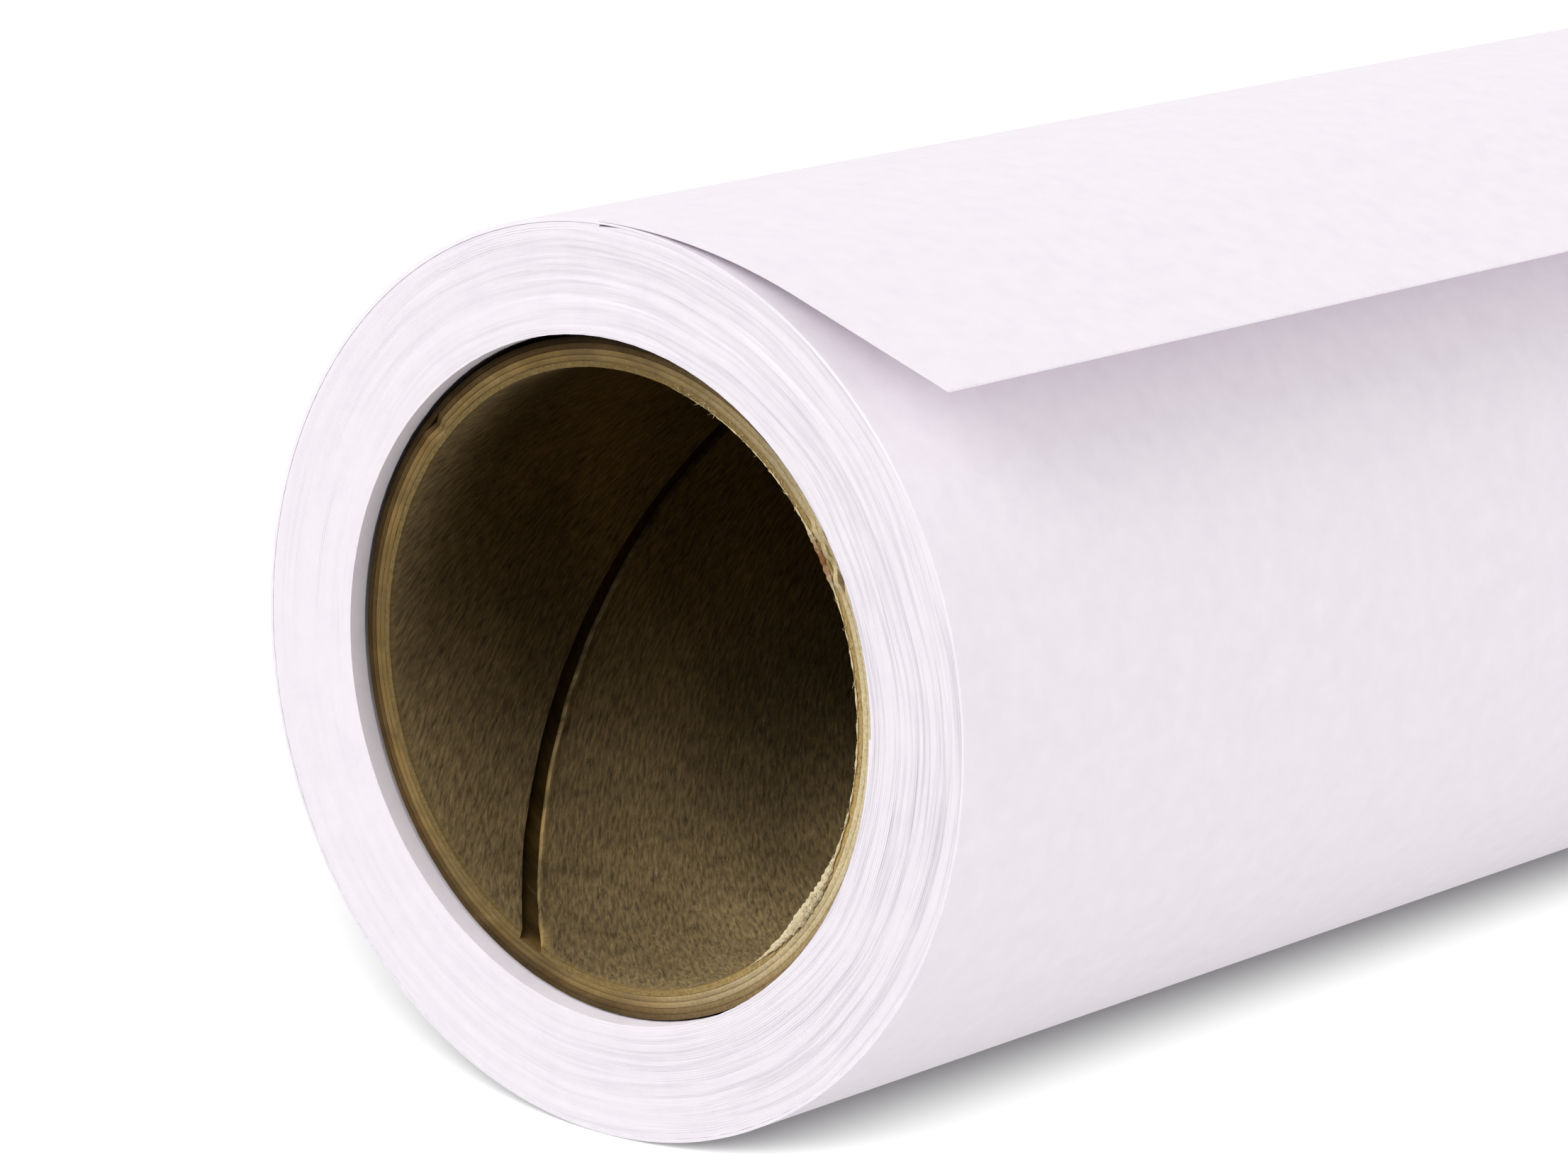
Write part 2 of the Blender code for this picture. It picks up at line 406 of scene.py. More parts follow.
# How far across the strip from the middle of the joint, and the radius there, with eased slit edges.
lining_section = (
    (half_joint, LINING_OUTSIDE),
    (half_joint, BORE_RADIUS - 0.00008),
    (half_joint + 0.00025, BORE_RADIUS - 0.00010),
    (half_joint + 0.0006, BORE_RADIUS - 0.00002),
    (half_joint + 0.0014, BORE_RADIUS),
    (LINING_PITCH - half_joint - 0.0006, BORE_RADIUS),
    (LINING_PITCH - half_joint - 0.0001, BORE_RADIUS + 0.00005),
    (LINING_PITCH - half_joint, BORE_RADIUS + 0.00014),
    (LINING_PITCH - half_joint, LINING_OUTSIDE),
)


def raggedness(angle, turn):
    """Slow and fine waver of the strip's slit edge."""
    return noise_round(turn, angle, 9), noise_round(turn + 31, angle, 40)


def lining_place(corner, step):
    across, radius = lining_section[corner]
    angle = math.tau * step / LINING_STEPS
    slow, fine = raggedness(angle, step // LINING_STEPS)
    if across < half_joint + SLIT_REACH:
        return at_angle(
            joint_middle(angle) + across + SLIT_WAVER * slow + SLIT_FRAY * fine,
            radius - (0.00010 * max(0.0, fine) if 0 < corner < 3 else 0),
            angle,
        )
    if across > LINING_PITCH - half_joint - 0.0002:
        across += 0.00012 * slow
    return at_angle(joint_middle(angle) + across, radius, angle)


lining_turns = math.ceil((CORE_FAR - CORE_NEAR) / LINING_PITCH) + 1
lining = wind(
    len(lining_section), LINING_STEPS, -2 * LINING_STEPS, lining_turns * LINING_STEPS, lining_place
)
for end, outward in ((CORE_NEAR, -1), (CORE_FAR, 1)):
    for inward in (CUT_FADE, CUT_DEPTH):
        bmesh.ops.bisect_plane(
            lining,
            geom=lining.verts[:] + lining.edges[:] + lining.faces[:],
            plane_co=(end - outward * inward, 0, 0),
            plane_no=(outward, 0, 0),
        )
    sawn = bmesh.ops.bisect_plane(
        lining,
        geom=lining.verts[:] + lining.edges[:] + lining.faces[:],
        plane_co=(end, 0, 0),
        plane_no=(outward, 0, 0),
        clear_outer=True,
    )
    rim = [part for part in sawn["geom_cut"] if isinstance(part, bmesh.types.BMEdge)]
    bmesh.ops.triangle_fill(lining, edges=rim, use_beauty=True, use_dissolve=False)
lining.verts.layers.float.new("bare_edge")
lining.verts.layers.float.new("darkening")
strip_place = lining.verts.layers.float_vector.new("strip_place")
bare_edge, darkening = lining.verts.layers.float["bare_edge"], lining.verts.layers.float["darkening"]
for vert in lining.verts:
    angle = angle_round_axis(vert.co)
    turn, across = divmod(vert.co.x - joint_middle(angle), LINING_PITCH)
    vert[strip_place] = (across, BORE_RADIUS * LINING_SLANT * (angle + math.tau * turn), 0)
    if across < half_joint + SLIT_BARE:
        slow, fine = raggedness(angle, turn)
        # The slit's pale bare fibres are real, but they are drawn only on the bore's lower side, where light
        # falls into the bore: that part is painted light.
        painted_light_below = max(0.0, -math.sin(angle + math.radians(10)))
        vert[bare_edge] = min(0.75, max(0.0, painted_light_below * (1.05 + 1.3 * slow + 1.2 * fine) - 0.30))
    if min(vert.co.x - CORE_NEAR, CORE_FAR - vert.co.x) < CUT_FACE:
        vert[bare_edge] = 1.0
        # The lining's cut is made darker all round, except on its -Y side a little below the axis.
        vert[darkening] = BOARD_DARKENING * (1 - bell(angle, math.radians(195), math.radians(110)))
        outward = -1 if vert.co.x < 0 else 1
        vert.co.x += outward * (FLUFF + 0.00008 * unevenness(3, angle, 14) - 0.00004)
core_lining = new_piece(
    "core_lining",
    shaded_mesh("core lining", lining),
    lining_board,
    "core_lining_board",
    "core_liner_ply",
)
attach(core_lining, "roll")

# ---------------------------------------------------------------------------------------------
# Body plies and outer ply of the core
# Four more layers of brown kraft board, glued on one after another. The saw that cut the core to
# length left their edges domed and fluffed, lumpy where it broke out, with one small chip.

PLY_STEPS = 288
PLY_THICKNESS = 0.00040
PLY_WITH_GLUE = 0.00056  # the ply and the glue line that fills out to the next one
PLY_DOME = 0.00004
OUTER_PLY = 4  # its number, counted out from the lining
TORN_OUT, TORN_ASIDE = 0.00080, 0.00034  # how far the torn stretch reaches along and across the axis
CHIP_DEPTH = 0.00055
TORN_ANGLE = math.radians(149)
CHIP_ANGLE = math.radians(42.5)

body_board = core_board(
    "core body board",
    dark=(0.070, 0.038, 0.009),
    light=(0.270, 0.165, 0.046),
    cut_dark=(0.46, 0.35, 0.17),
    cut_light=(0.80, 0.69, 0.45),
    streaks=700.0,
    fleck=0.08,
)
brown_board = core_board(
    "core brown board",
    dark=(0.040, 0.020, 0.006),
    light=(0.120, 0.066, 0.021),
    cut_dark=(0.27, 0.180, 0.070),
    cut_light=(0.54, 0.42, 0.22),
    streaks=700.0,
    fleck=0.08,
)
# The outer ply's cut is darker brown than the inner plies'. Partly this is its own darker board, and partly
# it is painted shade from the paper's hole, which overhangs the rim's outer edge.
outer_board_with_painted_shade = core_board(
    "core outer board with painted shade",
    dark=(0.016, 0.009, 0.003),
    light=(0.070, 0.038, 0.013),
    cut_dark=(0.20, 0.130, 0.050),
    cut_light=(0.46, 0.34, 0.17),
    streaks=700.0,
    fleck=0.08,
)


def ply_tube(name, inner, outer, ply_number):
    """One ply as a tube, turned from its section, with domed, uneven sawn ends."""
    half_section = (
        (CUT_FADE, inner),
        (CUT_DEPTH, inner),
        (0.00003, inner + 0.00002),
        (-0.5 * PLY_DOME, inner + 0.00012),
        (-PLY_DOME, (inner + outer) / 2),
        (-0.5 * PLY_DOME, outer - 0.00012),
        (0.00003, outer - 0.00002),
        (CUT_DEPTH, outer),
        (CUT_FADE, outer),
    )
    ply = bmesh.new()
    top = math.pi / 2
    ring = [ply.verts.new(at_angle(CORE_NEAR + along, radius, top)) for along, radius in half_section]
    ring += [ply.verts.new(at_angle(CORE_FAR - along, radius, top)) for along, radius in half_section[::-1]]
    outline = [ply.edges.new((ring[i - 1], ring[i])) for i in range(len(ring))]
    bmesh.ops.spin(
        ply, geom=outline, cent=AXIS, axis=(1, 0, 0), angle=math.tau, steps=PLY_STEPS, use_merge=True
    )
    bmesh.ops.remove_doubles(ply, verts=ply.verts[:], dist=1e-6)
    for kept_value in ("bare_edge", "darkening"):
        ply.verts.layers.float.new(kept_value)
    strip = ply.verts.layers.float_vector.new("strip_place")
    bare, darkening = ply.verts.layers.float["bare_edge"], ply.verts.layers.float["darkening"]
    for vert in ply.verts:
        vert[strip] = (vert.co.x, inner * angle_round_axis(vert.co), 0)
        from_end = min(vert.co.x - CORE_NEAR, CORE_FAR - vert.co.x)
        if from_end > 2 * CUT_DEPTH:
            vert[darkening] = BOARD_DARKENING
        if from_end > CUT_FACE:
            continue
        angle = angle_round_axis(vert.co)
        vert[bare] = fluffed(angle)
        outward = -1 if vert.co.x < 0 else 1
        rough = FLUFF + 0.00004 * unevenness(1, angle, 5)
        rough += 0.00003 * unevenness(ply_number + 5, angle, 45)
        sideways = 0.00003 * unevenness(ply_number + 9, angle, 30)
        if outward < 0:
            torn = bell(angle, TORN_ANGLE, math.radians(13))
            rough += torn * TORN_OUT * unevenness(ply_number + 2, angle, 24)
            sideways += torn * TORN_ASIDE * unevenness(ply_number + 4, angle, 19)
            chip = bell(angle, CHIP_ANGLE, math.radians(2.6)) * (0.2 if ply_number == OUTER_PLY else 1.0)
            rough -= CHIP_DEPTH * chip
        vert.co.x += outward * rough
        vert.co += (vert.co - AXIS).normalized() * Vector((0, 1, 1)) * sideways
    return shaded_mesh(name, ply, sharp_above=60)


for ply_number, (node, finish) in enumerate(
    (
        ("core_body_ply_1", body_board),
        ("core_body_ply_2", body_board),
        ("core_body_ply_3", brown_board),
        ("core_outer_ply", outer_board_with_painted_shade),
    ),
    start=1,
):
    inner = (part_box(node)[1].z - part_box(node)[0].z) / 2 - PLY_THICKNESS
    ply_piece = new_piece(
        node.replace("core_", "core_board_"),
        ply_tube(node, inner, inner + PLY_WITH_GLUE, ply_number),
        finish,
        "core_board",
        node,
    )
    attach(ply_piece, "roll")

# ---------------------------------------------------------------------------------------------
# Burr on the core's cut edge
# Grey-white fibres of the lining that the saw pulled out instead of cutting, along one side of the
# bore's rim. They thicken to a ragged tuft low down, where the blade left the board.

BURR_START, BURR_END = math.radians(104), math.radians(236)
BURR_STEPS, BURR_SIDES = 420, 8
BURR_SIZE = 0.00012
BURR_RADIUS = BORE_RADIUS + 0.00002
BURR_PROUD = 0.00006  # how far its middle stands out of the fluffed cut
TUFT_ANGLE = math.radians(217)
TUFT_SHARE = 0.45  # how many of the loose fibres are in the tuft
LOOSE_FIBRES = 260
FIBRE_ROOT, FIBRE_TIP = 0.000032, 0.000010

burr_fibre = core_board(
    "core burr fibre",
    dark=(0.11, 0.040, 0.014),
    light=(0.30, 0.150, 0.065),
    cut_dark=(0.46, 0.36, 0.19),
    cut_light=(0.78, 0.69, 0.48),
    streaks=2600.0,
    fleck=0.5,
)
burr = bmesh.new()
burr_middle = at_angle(CORE_NEAR - FLUFF - BURR_PROUD, BURR_RADIUS, BURR_START)
outward = (burr_middle - AXIS) * Vector((0, 1, 1)) / BORE_RADIUS
lump = burr.faces.new(
    [
        burr.verts.new(
            burr_middle
            + BURR_SIZE * math.cos(math.tau * k / BURR_SIDES) * outward
            + Vector((BURR_SIZE * math.sin(math.tau * k / BURR_SIDES), 0, 0))
        )
        for k in range(BURR_SIDES)
    ]
)
bmesh.ops.spin(
    burr,
    geom=lump.verts[:] + lump.edges[:] + [lump],
    cent=AXIS,
    axis=(1, 0, 0),
    angle=BURR_END - BURR_START,
    steps=BURR_STEPS,
)
for vert in burr.verts:
    angle = angle_round_axis(vert.co) % math.tau
    middle = at_angle(burr_middle.x, BURR_RADIUS, angle)
    taper = min(1.0, (angle - BURR_START) / 0.5, (BURR_END - angle) / 0.12)
    size = 0.65 + 0.85 * unevenness(21, angle, 20) + 0.6 * unevenness(22, angle, 70)
    size += 4.6 * bell(angle, TUFT_ANGLE, math.radians(17)) + 2.0 * bell(angle, TORN_ANGLE, math.radians(12))
    way = (vert.co - middle) * Vector((0.5, 1, 1))
    lumpy = 1 + 0.5 * noise.noise(vert.co * 2200)
    vert.co = middle + way * max(0.08, taper * max(0.15, size) * lumpy)
fluff = random.Random(11)
for _ in range(LOOSE_FIBRES):
    angle = BURR_START + (BURR_END - BURR_START) * fluff.random()
    if fluff.random() < TUFT_SHARE:
        angle = fluff.gauss(TUFT_ANGLE, math.radians(6))
    reach = fluff.uniform(0.0002, 0.0006) + 0.0005 * bell(angle, TUFT_ANGLE, math.radians(15))
    root = at_angle(CORE_NEAR - FLUFF - 0.00008, BORE_RADIUS + fluff.uniform(-0.0001, 0.0005), angle)
    lean = Vector((-fluff.uniform(0.1, 0.8), 0, 0)) - fluff.uniform(-0.6, 1.0) * (root - AXIS).normalized()
    lean += fluff.uniform(-1.3, 1.3) * Vector((0, -math.sin(angle), math.cos(angle)))
    turn = lean.normalized().to_track_quat("Z", "Y").to_matrix().to_4x4()
    bmesh.ops.create_cone(
        burr,
        cap_ends=True,
        segments=4,
        radius1=FIBRE_ROOT,
        radius2=FIBRE_TIP,
        depth=reach,
        matrix=Matrix.Translation(root + lean.normalized() * reach * 0.45) @ turn,
    )
bare = burr.verts.layers.float.new("bare_edge")
strip = burr.verts.layers.float_vector.new("strip_place")
for vert in burr.verts:
    angle = angle_round_axis(vert.co) % math.tau
    vert[strip] = (vert.co.x, BORE_RADIUS * angle, 0)
    vert[bare] = 1.0 - bell(angle, TORN_ANGLE, math.radians(8))
core_burr = new_piece("core_cut_burr", shaded_mesh("core cut burr", burr), burr_fibre, "core_lining_board")
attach(core_burr, "roll")

# ---------------------------------------------------------------------------------------------
# Tape that starts the sheet
# A length of creped masking tape holds the sheet's first edge to the core. The winding hides it.

crepe = bpy.data.materials.new("creped masking tape")
crepe.use_nodes = True
nodes, links = crepe.node_tree.nodes, crepe.node_tree.links
nodes.clear()
creping = nodes.new("NodeFrame")
creping.label = "Creping across the tape"
place = nodes.new("ShaderNodeTexCoord")
place.label = "Place on the tape"
stretch = nodes.new("ShaderNodeMapping")
stretch.label = "Creases run round the core"
stretch.inputs["Scale"].default_value = (1600, 160, 160)
crease = nodes.new("ShaderNodeTexNoise")
crease.label = "Crepe creases"
crease.inputs["Scale"].default_value = 1.0
crease.inputs["Detail"].default_value = 3.0
buff = nodes.new("ShaderNodeValToRGB")
buff.label = "Buff paper in the creases"
buff.color_ramp.elements[0].color = (0.58, 0.44, 0.21, 1)
buff.color_ramp.elements[1].color = (0.78, 0.66, 0.42, 1)
raised = nodes.new("ShaderNodeBump")
raised.label = "Crease height"
raised.inputs["Strength"].default_value = 0.5
raised.inputs["Distance"].default_value = 0.0001
satin = nodes.new("ShaderNodeBsdfPrincipled")
satin.label = "Satin backing"
satin.inputs["Roughness"].default_value = 0.5
output = nodes.new("ShaderNodeOutputMaterial")
output.label = "Masking tape"
links.new(place.outputs["Object"], stretch.inputs["Vector"])
links.new(stretch.outputs["Vector"], crease.inputs["Vector"])
links.new(crease.outputs["Fac"], buff.inputs["Fac"])
links.new(crease.outputs["Fac"], raised.inputs["Height"])
links.new(buff.outputs["Color"], satin.inputs["Base Color"])
links.new(raised.outputs["Normal"], satin.inputs["Normal"])
links.new(satin.outputs["BSDF"], output.inputs["Surface"])
lay_out(nodes, ((creping, (place, stretch, crease, buff, raised, satin, output)),))
tape_low, tape_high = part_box("start_tape")
TAPE_INSET = 0.012
TAPE_RADIUS, TAPE_THICKNESS = 0.03145, 0.00010
TAPE_START, TAPE_END = math.radians(90), math.radians(138)
TAPE_STEPS = 24
tape_shape = bmesh.new()
tape_section = tape_shape.faces.new(
    [
        tape_shape.verts.new(at_angle(along, TAPE_RADIUS + out * TAPE_THICKNESS, TAPE_START))
        for along, out in (
            (tape_low.x + TAPE_INSET, 0),
            (tape_high.x - TAPE_INSET, 0),
            (tape_high.x - TAPE_INSET, 1),
            (tape_low.x + TAPE_INSET, 1),
        )
    ]
)
bmesh.ops.spin(
    tape_shape,
    geom=tape_section.verts[:] + tape_section.edges[:] + [tape_section],
    cent=AXIS,
    axis=(1, 0, 0),
    angle=TAPE_END - TAPE_START,
    steps=TAPE_STEPS,
)
starting_tape = new_piece(
    "starting_tape", shaded_mesh("starting tape", tape_shape), crepe, "masking_tape", "start_tape"
)
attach(starting_tape, "roll")

# ---------------------------------------------------------------------------------------------
# The wound sheet
# About 45 turns of one long sheet of 0.2 mm uncoated white paper, wound on the core under the outer
# turn. Turns creep along the roll as it is wound, so its ends show fine broken rings.

pack_low, pack_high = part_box("wound_paper")
ROLL_NEAR, ROLL_FAR = pack_low.x, pack_high.x
ROLL_RADIUS = (pack_high.z - pack_low.z) / 2
SHEET = 0.0002
TURN_PITCH = 0.000228
SLIDE_ROOM = 0.00001  # between the pack and the outer turn, which slides round it
HOLE_RADIUS = 0.0316
HOLE_SLACK = 0.0001  # the winding sits off the core by this much, towards its slack side
SLACK_ANGLE = math.radians(45)
STEPS_A_TURN = 96
LEAVING_RADIUS = ROLL_RADIUS - SHEET / 2
LEAST_AIR, LOOSE_AIR = 0.000003, 0.00004  # between turns, and how much more where they are loose
CREEP, FINE_CREEP = 0.00010, 0.000022  # how far groups of turns, and single ones, stand in or out
ROUNDED_DEPTH = 0.0011  # how deep the turns go whose edges are pushed in
ROUNDING = 0.00012  # how far the outermost of them is


def backdrop_paper(name, ring_depth):
    """Uncoated white paper with a faint lavender cast; ring_depth darkens the rings of a wound end."""
    material = bpy.data.materials.new(name)
    material.use_nodes = True
    nodes, links = material.node_tree.nodes, material.node_tree.links
    nodes.clear()

    mottle = nodes.new("NodeFrame")
    mottle.label = "Formation: clouds of fibre in the sheet"
    place = nodes.new("ShaderNodeTexCoord")
    place.label = "Place on the sheet"
    cloud = nodes.new("ShaderNodeTexNoise")
    cloud.label = "Fibre clouds"
    cloud.inputs["Scale"].default_value = 420.0
    cloud.inputs["Detail"].default_value = 5.0
    cloud.inputs["Roughness"].default_value = 0.6
    tint = nodes.new("ShaderNodeValToRGB")
    tint.label = "Lavender white, thin to thick"
    tint.color_ramp.elements[0].position = 0.30
    tint.color_ramp.elements[0].color = (0.838, 0.782, 0.842, 1)
    tint.color_ramp.elements[1].position = 0.72
    tint.color_ramp.elements[1].color = (0.880, 0.830, 0.878, 1)
    links.new(place.outputs["Object"], cloud.inputs["Vector"])
    links.new(cloud.outputs["Fac"], tint.inputs["Fac"])

    rings = nodes.new("NodeFrame")
    rings.label = "Broken rings on the wound end"
    centred = nodes.new("ShaderNodeMapping")
    centred.label = "Measured from the roll's axis"
    centred.inputs["Location"].default_value = (0, 0, -AXIS_HEIGHT)
    section = nodes.new("ShaderNodeVectorMath")
    section.label = "Across the axis"
    section.operation = "MULTIPLY"
    section.inputs[1].default_value = (0, 1, 1)
    radius = nodes.new("ShaderNodeVectorMath")
    radius.label = "Distance from the axis"
    radius.operation = "LENGTH"
    outward = nodes.new("ShaderNodeVectorMath")
    outward.label = "Direction from the axis"
    outward.operation = "NORMALIZE"
    wander = nodes.new("ShaderNodeTexNoise")
    wander.label = "Turns wander in and out"
    wander.inputs["Scale"].default_value = 70.0
    wander.inputs["Detail"].default_value = 1.0
    wandered = nodes.new("ShaderNodeMath")
    wandered.label = "Radius with its wander"
    wandered.operation = "MULTIPLY_ADD"
    wandered.inputs[1].default_value = 0.0012
    fine = nodes.new("ShaderNodeMath")
    fine.label = "A few turns to each ring"
    fine.operation = "MULTIPLY"
    fine.inputs[1].default_value = 2300.0
    ring_radius = nodes.new("ShaderNodeCombineXYZ")
    ring_radius.label = "Fine outwards"
    ring_way = nodes.new("ShaderNodeVectorMath")
    ring_way.label = "Long round the roll"
    ring_way.operation = "MULTIPLY_ADD"
    ring_way.inputs[1].default_value = (0, 1.7, 1.7)
    ring = nodes.new("ShaderNodeTexNoise")
    ring.label = "Broken rings"
    ring.inputs["Scale"].default_value = 1.0
    ring.inputs["Detail"].default_value = 3.0
    ring.inputs["Roughness"].default_value = 0.7
    shade = nodes.new("ShaderNodeMapRange")
    shade.label = "Only the loose turns go grey"
    shade.inputs["From Min"].default_value = 0.47
    shade.inputs["From Max"].default_value = 0.74
    side = nodes.new("ShaderNodeVectorMath")
    side.label = "More on the side that was knocked"
    side.operation = "DOT_PRODUCT"
    side.inputs[1].default_value = (0, math.cos(math.radians(172)), math.sin(math.radians(172)))
    side_share = nodes.new("ShaderNodeMapRange")
    side_share.label = "From nearly plain to full"
    side_share.inputs["From Min"].default_value = -1.0
    side_share.inputs["To Min"].default_value = 0.02 * ring_depth
    side_share.inputs["To Max"].default_value = ring_depth
    ring_grey = nodes.new("ShaderNodeMath")
    ring_grey.label = "Grey in the rings"
    ring_grey.operation = "MULTIPLY"
    paper = nodes.new("ShaderNodeMix")
    paper.label = "Sheet edges with their rings"
    paper.data_type = "RGBA"
    paper.inputs["B"].default_value = (0.42, 0.40, 0.45, 1)
    links.new(place.outputs["Object"], centred.inputs["Vector"])
    links.new(centred.outputs["Vector"], section.inputs[0])
    links.new(section.outputs["Vector"], radius.inputs[0])
    links.new(section.outputs["Vector"], outward.inputs[0])
    links.new(place.outputs["Object"], wander.inputs["Vector"])
    links.new(wander.outputs["Fac"], wandered.inputs[0])
    links.new(radius.outputs["Value"], wandered.inputs[2])
    links.new(wandered.outputs["Value"], fine.inputs[0])
    links.new(fine.outputs["Value"], ring_radius.inputs["X"])
    links.new(outward.outputs["Vector"], ring_way.inputs[0])
    links.new(ring_radius.outputs["Vector"], ring_way.inputs[2])
    links.new(ring_way.outputs["Vector"], ring.inputs["Vector"])
    links.new(ring.outputs["Fac"], shade.inputs["Value"])
    links.new(outward.outputs["Vector"], side.inputs[0])
    links.new(side.outputs["Value"], side_share.inputs["Value"])
    links.new(shade.outputs["Result"], ring_grey.inputs[0])
    links.new(side_share.outputs["Result"], ring_grey.inputs[1])
    links.new(ring_grey.outputs["Value"], paper.inputs["Factor"])
    links.new(tint.outputs["Color"], paper.inputs["A"])

    tooth = nodes.new("NodeFrame")
    tooth.label = "Matt surface with a fine tooth"
    grain = nodes.new("ShaderNodeTexNoise")
    grain.label = "Felt-side tooth"
    grain.inputs["Scale"].default_value = 2400.0
    grain.inputs["Detail"].default_value = 3.0
    bump = nodes.new("ShaderNodeBump")
    bump.label = "Tooth height"
    bump.inputs["Strength"].default_value = 0.22
    bump.inputs["Distance"].default_value = 0.00006
    surface = nodes.new("ShaderNodeBsdfPrincipled")
    surface.label = "Uncoated paper"
    surface.inputs["Roughness"].default_value = 0.93
    surface.inputs["Specular IOR Level"].default_value = 0.15
    output = nodes.new("ShaderNodeOutputMaterial")
    output.label = "Backdrop paper"
    links.new(place.outputs["Object"], grain.inputs["Vector"])
    links.new(grain.outputs["Fac"], bump.inputs["Height"])
    links.new(paper.outputs["Result"], surface.inputs["Base Color"])
    links.new(bump.outputs["Normal"], surface.inputs["Normal"])
    links.new(surface.outputs["BSDF"], output.inputs["Surface"])

    lay_out(
        nodes,
        (
            (mottle, (place, cloud, tint)),
            (
                rings,
                (centred, section, radius, outward, wander, wandered, fine, ring_radius, ring_way, ring)
                + (shade, side, side_share, ring_grey, paper),
            ),
            (tooth, (grain, bump, surface, output)),
        ),
    )
    return material


wound_edges = backdrop_paper("wound paper edges", ring_depth=0.64)

SHEET_SECTION = ((-1, -1), (1, -1), (1, 1), (-1, 1))  # which end of the roll, and its inner or outer face


def wind_sheet(turns, steps_a_turn, face_radius, end_place):
    """A sheet wound from the top of the roll over the back, full width, as one closed strip."""

    def place(corner, step):
        end, face = SHEET_SECTION[corner]
        wound = math.tau * step / steps_a_turn
        radius = face_radius(face, wound)
        return at_angle(end_place(end, wound, radius), radius, math.pi / 2 - wound)

    return wind(len(SHEET_SECTION), steps_a_turn, 0, round(steps_a_turn * turns), place)


PACK_OUTSIDE = LEAVING_RADIUS - TURN_PITCH - SHEET / 2 - SLIDE_ROOM
PACK_TURNS = math.floor((PACK_OUTSIDE - HOLE_RADIUS - SHEET) / TURN_PITCH) + 0.75
PACK_PITCH = (PACK_OUTSIDE - HOLE_RADIUS - SHEET) / PACK_TURNS


def pack_radius(wound):
    """The middle of the sheet, this many radians in from the outside. The inside is a little off centre."""
    depth = wound / (math.tau * PACK_TURNS)
    return PACK_OUTSIDE - PACK_PITCH * (0.5 + wound / math.tau) + HOLE_SLACK * depth**2 * math.cos(
        math.pi / 2 - wound - SLACK_ANGLE
    )


def pack_thickness(wound):
    """The sheet with its share of air; the air opens up in short stretches where the winding is loose."""
    angle, turn = math.pi / 2 - wound, wound / math.tau
    loose = noise_round(turn * 0.9, angle, 2.2)
    return PACK_PITCH - LEAST_AIR - LOOSE_AIR * max(0.0, loose - 0.15)


def pack_face(face, wound):
    """The outside of the pack fills out to a plain round, for the turn over it to slide on."""
    if face > 0 and wound < math.tau - 1e-6:
        return PACK_OUTSIDE
    return pack_radius(wound) + face * pack_thickness(wound) / 2


def pack_end(end, wound, radius):
    """Where this turn's edge stands at one end of the roll: a little in or out, and soft at one side."""
    angle, seed = math.pi / 2 - wound, 57 * end
    knocked = 0.30 + 0.70 * (0.5 - 0.5 * math.cos(angle + math.radians(30)))
    group = noise_round(seed + radius * 900, angle, 1.6)
    single = noise_round(seed + radius * 3600, angle, 4)
    rounded = max(0.0, (radius - ROLL_RADIUS + ROUNDED_DEPTH) / ROUNDED_DEPTH) ** 2
    soft = 0.5 + 0.5 * math.cos(angle - math.radians(15))
    out = knocked * (CREEP * group + FINE_CREEP * single) - ROUNDING * rounded * soft
    return ROLL_NEAR - out if end < 0 else ROLL_FAR + out


pack = wind_sheet(PACK_TURNS, STEPS_A_TURN, pack_face, pack_end)
wound_sheet = new_piece(
    "wound_sheet", shaded_mesh("wound sheet", pack), wound_edges, "backdrop_paper", "wound_paper"
)
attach(wound_sheet, "roll")

# ---------------------------------------------------------------------------------------------
# Outer turn of the sheet
# The last turn before the sheet leaves the roll at the top. It goes round with the leaving line as
# the sheet is drawn off, and its inner end tucks under the free sheet.

OUTER_STEPS = 288
OUTER_TURN_PROUD = 0.00005

sheet_face = backdrop_paper("backdrop paper face", ring_depth=0.0)


def sheet_end(end, wound, radius=LEAVING_RADIUS):
    """The outer turn stands a hair out of the ends of the turns below."""
    return pack_end(end, wound, radius) + OUTER_TURN_PROUD * end


def outer_turn_face(face, wound):
    """One turn of the spiral outside; inside, a plain round that slides on the pack."""
    if face < 0:
        return PACK_OUTSIDE + SLIDE_ROOM
    return LEAVING_RADIUS + SHEET / 2 - TURN_PITCH * wound / math.tau


turn_shape = wind_sheet(1, OUTER_STEPS, outer_turn_face, sheet_end)
outer_turn = new_piece(
    "outer_turn", shaded_mesh("outer turn", turn_shape), sheet_face, "backdrop_paper", "sheet_root"
)
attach(outer_turn, "departing_sheet")

# ---------------------------------------------------------------------------------------------
# Free end of the sheet
# The same paper, off the roll. It keeps less of a curl than the roll has, so it stands away from it
# and then runs straight to a clean cut edge. Each length bends over one line of the sheet.

FREE_BEND_RADIUS = 0.068
FREE_DROP = math.radians(20)
FREE_LENGTH = 0.04184
FREE_STEP = 0.0005


def free_sheet_place(along, lift=0.0):
    """(y, z) this far along the free sheet from the top of the roll, and this far out of its face."""
    turned = min(along / FREE_BEND_RADIUS, FREE_DROP)
    straight = max(along - FREE_BEND_RADIUS * FREE_DROP, 0)
    y = -(FREE_BEND_RADIUS + lift) * math.sin(turned) - straight * math.cos(turned)
    z = (FREE_BEND_RADIUS + lift) * math.cos(turned) - FREE_BEND_RADIUS - straight * math.sin(turned)
    return y, AXIS_HEIGHT + LEAVING_RADIUS + z


